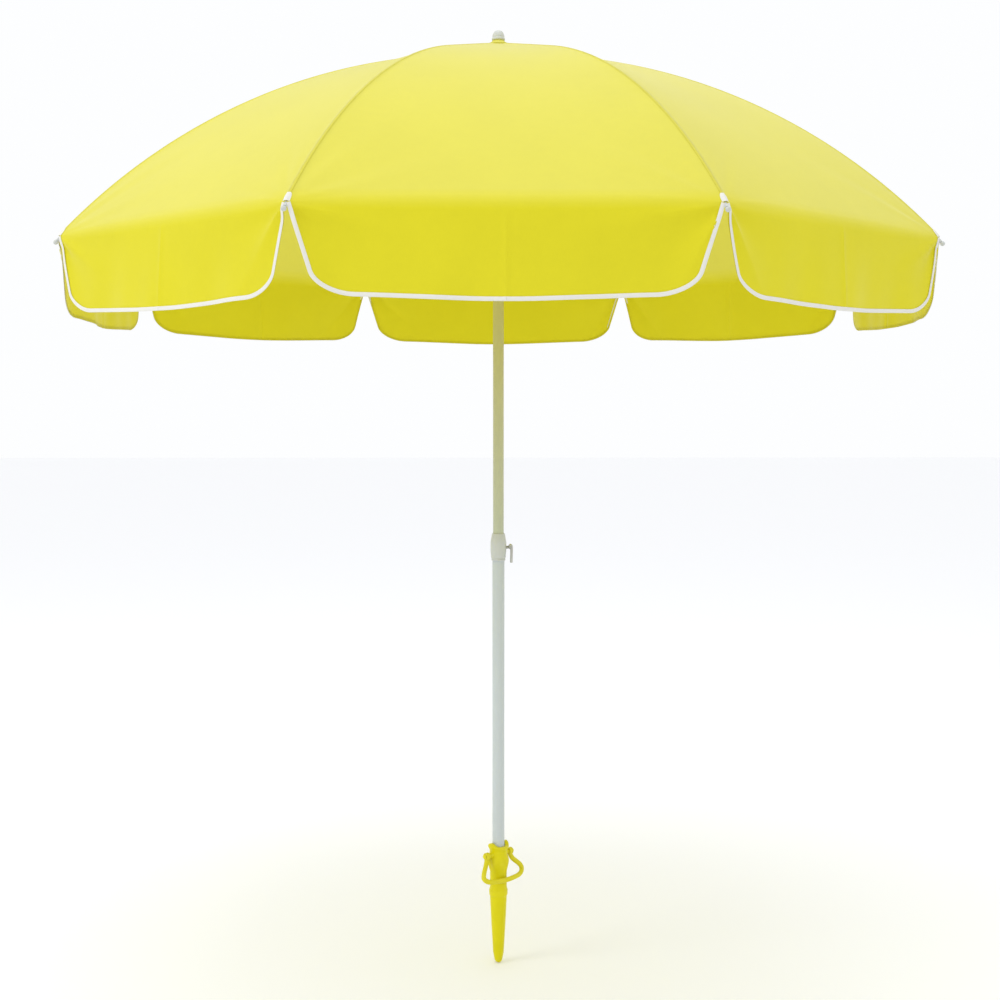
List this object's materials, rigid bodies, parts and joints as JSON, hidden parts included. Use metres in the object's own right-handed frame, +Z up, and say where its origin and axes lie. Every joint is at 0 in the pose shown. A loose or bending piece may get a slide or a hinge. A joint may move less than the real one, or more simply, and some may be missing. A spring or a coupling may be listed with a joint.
{
  "type": "beach umbrella",
  "caption": "Folding sun umbrella with a two-piece telescoping pole, lock screw, ribbed frame on a sliding runner, stretched canopy with hanging valance, and a ground spike.",
  "frame": {"origin": "on the pole's axis at ground level, where the spike enters the sand", "axes": "+Z up along the pole, -Y the front of the canopy, +X the lock screw's side"},
  "size_m": [1.6062, 1.6062, 1.9078],
  "materials": {
    "spike": "moulded, semi-gloss",
    "tube": "white powder coat, semi-gloss",
    "collar": "moulded white, satin",
    "zinc": "zinc plated, satin",
    "hub": "moulded white, satin",
    "frame": "white coated, satin",
    "canopy": "plain woven polyester, matt"
  },
  "bodies": {
    "spike": {"ground_spike": "spike"},
    "handle": {"spike_handle": "spike"},
    "lower_pole": {"lower_tube": "tube", "height_collar": "collar"},
    "screw": {"lock_screw": "zinc"},
    "upper_pole": {"upper_tube": "tube", "crown_hub": "hub", "crown_ring": "zinc", "finial": "hub", "canopy_cap": "canopy"},
    "runner": {"runner": "hub"},
    "catch": {"runner_catch": "zinc"},
    "rib_1": {"rib_inner_1": "frame", "canopy_upper_1": "canopy"},
    "rib_end_1": {"rib_outer_1": "frame", "canopy_lower_1": "canopy"},
    "strut_1": {"stretcher_1": "frame"},
    "hem_1": {"valance_1": "canopy"},
    "rib_2": {"rib_inner_2": "frame", "canopy_upper_2": "canopy"},
    "rib_end_2": {"rib_outer_2": "frame", "canopy_lower_2": "canopy"},
    "strut_2": {"stretcher_2": "frame"},
    "hem_2": {"valance_2": "canopy"},
    "rib_3": {"rib_inner_3": "frame", "canopy_upper_3": "canopy"},
    "rib_end_3": {"rib_outer_3": "frame", "canopy_lower_3": "canopy"},
    "strut_3": {"stretcher_3": "frame"},
    "hem_3": {"valance_3": "canopy"},
    "rib_4": {"rib_inner_4": "frame", "canopy_upper_4": "canopy"},
    "rib_end_4": {"rib_outer_4": "frame", "canopy_lower_4": "canopy"},
    "strut_4": {"stretcher_4": "frame"},
    "hem_4": {"valance_4": "canopy"},
    "rib_5": {"rib_inner_5": "frame", "canopy_upper_5": "canopy"},
    "rib_end_5": {"rib_outer_5": "frame", "canopy_lower_5": "canopy"},
    "strut_5": {"stretcher_5": "frame"},
    "hem_5": {"valance_5": "canopy"},
    "rib_6": {"rib_inner_6": "frame", "canopy_upper_6": "canopy"},
    "rib_end_6": {"rib_outer_6": "frame", "canopy_lower_6": "canopy"},
    "strut_6": {"stretcher_6": "frame"},
    "hem_6": {"valance_6": "canopy"},
    "rib_7": {"rib_inner_7": "frame", "canopy_upper_7": "canopy"},
    "rib_end_7": {"rib_outer_7": "frame", "canopy_lower_7": "canopy"},
    "strut_7": {"stretcher_7": "frame"},
    "hem_7": {"valance_7": "canopy"},
    "rib_8": {"rib_inner_8": "frame", "canopy_upper_8": "canopy"},
    "rib_end_8": {"rib_outer_8": "frame", "canopy_lower_8": "canopy"},
    "strut_8": {"stretcher_8": "frame"},
    "hem_8": {"valance_8": "canopy"}
  },
  "joints": [
    {"name": "handle_swing", "type": "hinge", "parent": "spike", "child": "handle", "pos_m": [0, 0, 0.08], "axis": [0.766, 0.6428, 0], "range_deg": [-125, 0]},
    {"name": "pole_lift", "type": "slide", "parent": "spike", "child": "lower_pole", "axis": [0, 0, 1], "range_m": [0, 0.1]},
    {"name": "height_slide", "type": "slide", "parent": "lower_pole", "child": "upper_pole", "axis": [0, 0, 1], "range_m": [-0.12, 0.07]},
    {"name": "screw_turn", "type": "hinge", "parent": "lower_pole", "child": "screw", "pos_m": [0.02, 0, 0.718], "axis": [1, 0, 0], "range_deg": [0, 180]},
    {"name": "runner_slide", "type": "slide", "parent": "upper_pole", "child": "runner", "axis": [0, 0, 1], "range_m": [-0.60621, 0], "deforming": ["canopy_upper_1", "canopy_lower_1", "valance_1", "canopy_upper_2", "canopy_lower_2", "valance_2", "canopy_upper_3", "canopy_lower_3", "valance_3", "canopy_upper_4", "canopy_lower_4", "valance_4", "canopy_upper_5", "canopy_lower_5", "valance_5", "canopy_upper_6", "canopy_lower_6", "valance_6", "canopy_upper_7", "canopy_lower_7", "valance_7", "canopy_upper_8", "canopy_lower_8", "valance_8"]},
    {"name": "catch_press", "type": "slide", "parent": "upper_pole", "child": "catch", "axis": [-1, 0, 0], "range_m": [0, 0.0026], "stiffness_N_per_m": 800},
    {"name": "rib_fold_1", "type": "hinge", "parent": "upper_pole", "child": "rib_1", "pos_m": [0.00765, -0.01848, 1.702], "axis": [0.9239, 0.3827, 0], "range_deg": [0, 69.77]},
    {"name": "rib_bend_1", "type": "hinge", "parent": "rib_1", "child": "rib_end_1", "pos_m": [0.15913, -0.38417, 1.61599], "axis": [0.9239, 0.3827, 0], "range_deg": [-17, 0]},
    {"name": "strut_turn_1", "type": "hinge", "parent": "rib_1", "child": "strut_1", "pos_m": [0.15551, -0.37545, 1.61115], "axis": [0.9239, 0.3827, 0], "range_deg": [-139.54, 0]},
    {"name": "hem_turn_1", "type": "hinge", "parent": "rib_end_1", "child": "hem_1", "pos_m": [0.32794, -0.79173, 1.309], "axis": [0.9239, 0.3827, 0], "range_deg": [-52.77, 0]},
    {"name": "rib_fold_2", "type": "hinge", "parent": "upper_pole", "child": "rib_2", "pos_m": [0.01848, -0.00765, 1.702], "axis": [0.3827, 0.9239, 0], "range_deg": [0, 69.77]},
    {"name": "rib_bend_2", "type": "hinge", "parent": "rib_2", "child": "rib_end_2", "pos_m": [0.38417, -0.15913, 1.61599], "axis": [0.3827, 0.9239, 0], "range_deg": [-17, 0]},
    {"name": "strut_turn_2", "type": "hinge", "parent": "rib_2", "child": "strut_2", "pos_m": [0.37545, -0.15551, 1.61115], "axis": [0.3827, 0.9239, 0], "range_deg": [-139.54, 0]},
    {"name": "hem_turn_2", "type": "hinge", "parent": "rib_end_2", "child": "hem_2", "pos_m": [0.79173, -0.32794, 1.309], "axis": [0.3827, 0.9239, 0], "range_deg": [-52.77, 0]},
    {"name": "rib_fold_3", "type": "hinge", "parent": "upper_pole", "child": "rib_3", "pos_m": [0.01848, 0.00765, 1.702], "axis": [-0.3827, 0.9239, 0], "range_deg": [0, 69.77]},
    {"name": "rib_bend_3", "type": "hinge", "parent": "rib_3", "child": "rib_end_3", "pos_m": [0.38417, 0.15913, 1.61599], "axis": [-0.3827, 0.9239, 0], "range_deg": [-17, 0]},
    {"name": "strut_turn_3", "type": "hinge", "parent": "rib_3", "child": "strut_3", "pos_m": [0.37545, 0.15551, 1.61115], "axis": [-0.3827, 0.9239, 0], "range_deg": [-139.54, 0]},
    {"name": "hem_turn_3", "type": "hinge", "parent": "rib_end_3", "child": "hem_3", "pos_m": [0.79173, 0.32794, 1.309], "axis": [-0.3827, 0.9239, 0], "range_deg": [-52.77, 0]},
    {"name": "rib_fold_4", "type": "hinge", "parent": "upper_pole", "child": "rib_4", "pos_m": [0.00765, 0.01848, 1.702], "axis": [-0.9239, 0.3827, 0], "range_deg": [0, 69.77]},
    {"name": "rib_bend_4", "type": "hinge", "parent": "rib_4", "child": "rib_end_4", "pos_m": [0.15913, 0.38417, 1.61599], "axis": [-0.9239, 0.3827, 0], "range_deg": [-17, 0]},
    {"name": "strut_turn_4", "type": "hinge", "parent": "rib_4", "child": "strut_4", "pos_m": [0.15551, 0.37545, 1.61115], "axis": [-0.9239, 0.3827, 0], "range_deg": [-139.54, 0]},
    {"name": "hem_turn_4", "type": "hinge", "parent": "rib_end_4", "child": "hem_4", "pos_m": [0.32794, 0.79173, 1.309], "axis": [-0.9239, 0.3827, 0], "range_deg": [-52.77, 0]},
    {"name": "rib_fold_5", "type": "hinge", "parent": "upper_pole", "child": "rib_5", "pos_m": [-0.00765, 0.01848, 1.702], "axis": [-0.9239, -0.3827, 0], "range_deg": [0, 69.77]},
    {"name": "rib_bend_5", "type": "hinge", "parent": "rib_5", "child": "rib_end_5", "pos_m": [-0.15913, 0.38417, 1.61599], "axis": [-0.9239, -0.3827, 0], "range_deg": [-17, 0]},
    {"name": "strut_turn_5", "type": "hinge", "parent": "rib_5", "child": "strut_5", "pos_m": [-0.15551, 0.37545, 1.61115], "axis": [-0.9239, -0.3827, 0], "range_deg": [-139.54, 0]},
    {"name": "hem_turn_5", "type": "hinge", "parent": "rib_end_5", "child": "hem_5", "pos_m": [-0.32794, 0.79173, 1.309], "axis": [-0.9239, -0.3827, 0], "range_deg": [-52.77, 0]},
    {"name": "rib_fold_6", "type": "hinge", "parent": "upper_pole", "child": "rib_6", "pos_m": [-0.01848, 0.00765, 1.702], "axis": [-0.3827, -0.9239, 0], "range_deg": [0, 69.77]},
    {"name": "rib_bend_6", "type": "hinge", "parent": "rib_6", "child": "rib_end_6", "pos_m": [-0.38417, 0.15913, 1.61599], "axis": [-0.3827, -0.9239, 0], "range_deg": [-17, 0]},
    {"name": "strut_turn_6", "type": "hinge", "parent": "rib_6", "child": "strut_6", "pos_m": [-0.37545, 0.15551, 1.61115], "axis": [-0.3827, -0.9239, 0], "range_deg": [-139.54, 0]},
    {"name": "hem_turn_6", "type": "hinge", "parent": "rib_end_6", "child": "hem_6", "pos_m": [-0.79173, 0.32794, 1.309], "axis": [-0.3827, -0.9239, 0], "range_deg": [-52.77, 0]},
    {"name": "rib_fold_7", "type": "hinge", "parent": "upper_pole", "child": "rib_7", "pos_m": [-0.01848, -0.00765, 1.702], "axis": [0.3827, -0.9239, 0], "range_deg": [0, 69.77]},
    {"name": "rib_bend_7", "type": "hinge", "parent": "rib_7", "child": "rib_end_7", "pos_m": [-0.38417, -0.15913, 1.61599], "axis": [0.3827, -0.9239, 0], "range_deg": [-17, 0]},
    {"name": "strut_turn_7", "type": "hinge", "parent": "rib_7", "child": "strut_7", "pos_m": [-0.37545, -0.15551, 1.61115], "axis": [0.3827, -0.9239, 0], "range_deg": [-139.54, 0]},
    {"name": "hem_turn_7", "type": "hinge", "parent": "rib_end_7", "child": "hem_7", "pos_m": [-0.79173, -0.32794, 1.309], "axis": [0.3827, -0.9239, 0], "range_deg": [-52.77, 0]},
    {"name": "rib_fold_8", "type": "hinge", "parent": "upper_pole", "child": "rib_8", "pos_m": [-0.00765, -0.01848, 1.702], "axis": [0.9239, -0.3827, 0], "range_deg": [0, 69.77]},
    {"name": "rib_bend_8", "type": "hinge", "parent": "rib_8", "child": "rib_end_8", "pos_m": [-0.15913, -0.38417, 1.61599], "axis": [0.9239, -0.3827, 0], "range_deg": [-17, 0]},
    {"name": "strut_turn_8", "type": "hinge", "parent": "rib_8", "child": "strut_8", "pos_m": [-0.15551, -0.37545, 1.61115], "axis": [0.9239, -0.3827, 0], "range_deg": [-139.54, 0]},
    {"name": "hem_turn_8", "type": "hinge", "parent": "rib_end_8", "child": "hem_8", "pos_m": [-0.32794, -0.79173, 1.309], "axis": [0.9239, -0.3827, 0], "range_deg": [-52.77, 0]}
  ],
  "couplings": [
    {"joint": "rib_fold_1", "follows": "runner_slide", "rad_per_m": -2.0087},
    {"joint": "rib_bend_1", "follows": "runner_slide", "rad_per_m": 0.48944},
    {"joint": "strut_turn_1", "follows": "runner_slide", "rad_per_m": 4.0173},
    {"joint": "hem_turn_1", "follows": "runner_slide", "rad_per_m": 1.5192},
    {"joint": "rib_fold_2", "follows": "runner_slide", "rad_per_m": -2.0087},
    {"joint": "rib_bend_2", "follows": "runner_slide", "rad_per_m": 0.48944},
    {"joint": "strut_turn_2", "follows": "runner_slide", "rad_per_m": 4.0173},
    {"joint": "hem_turn_2", "follows": "runner_slide", "rad_per_m": 1.5192},
    {"joint": "rib_fold_3", "follows": "runner_slide", "rad_per_m": -2.0087},
    {"joint": "rib_bend_3", "follows": "runner_slide", "rad_per_m": 0.48944},
    {"joint": "strut_turn_3", "follows": "runner_slide", "rad_per_m": 4.0173},
    {"joint": "hem_turn_3", "follows": "runner_slide", "rad_per_m": 1.5192},
    {"joint": "rib_fold_4", "follows": "runner_slide", "rad_per_m": -2.0087},
    {"joint": "rib_bend_4", "follows": "runner_slide", "rad_per_m": 0.48944},
    {"joint": "strut_turn_4", "follows": "runner_slide", "rad_per_m": 4.0173},
    {"joint": "hem_turn_4", "follows": "runner_slide", "rad_per_m": 1.5192},
    {"joint": "rib_fold_5", "follows": "runner_slide", "rad_per_m": -2.0087},
    {"joint": "rib_bend_5", "follows": "runner_slide", "rad_per_m": 0.48944},
    {"joint": "strut_turn_5", "follows": "runner_slide", "rad_per_m": 4.0173},
    {"joint": "hem_turn_5", "follows": "runner_slide", "rad_per_m": 1.5192},
    {"joint": "rib_fold_6", "follows": "runner_slide", "rad_per_m": -2.0087},
    {"joint": "rib_bend_6", "follows": "runner_slide", "rad_per_m": 0.48944},
    {"joint": "strut_turn_6", "follows": "runner_slide", "rad_per_m": 4.0173},
    {"joint": "hem_turn_6", "follows": "runner_slide", "rad_per_m": 1.5192},
    {"joint": "rib_fold_7", "follows": "runner_slide", "rad_per_m": -2.0087},
    {"joint": "rib_bend_7", "follows": "runner_slide", "rad_per_m": 0.48944},
    {"joint": "strut_turn_7", "follows": "runner_slide", "rad_per_m": 4.0173},
    {"joint": "hem_turn_7", "follows": "runner_slide", "rad_per_m": 1.5192},
    {"joint": "rib_fold_8", "follows": "runner_slide", "rad_per_m": -2.0087},
    {"joint": "rib_bend_8", "follows": "runner_slide", "rad_per_m": 0.48944},
    {"joint": "strut_turn_8", "follows": "runner_slide", "rad_per_m": 4.0173},
    {"joint": "hem_turn_8", "follows": "runner_slide", "rad_per_m": 1.5192}
  ]
}
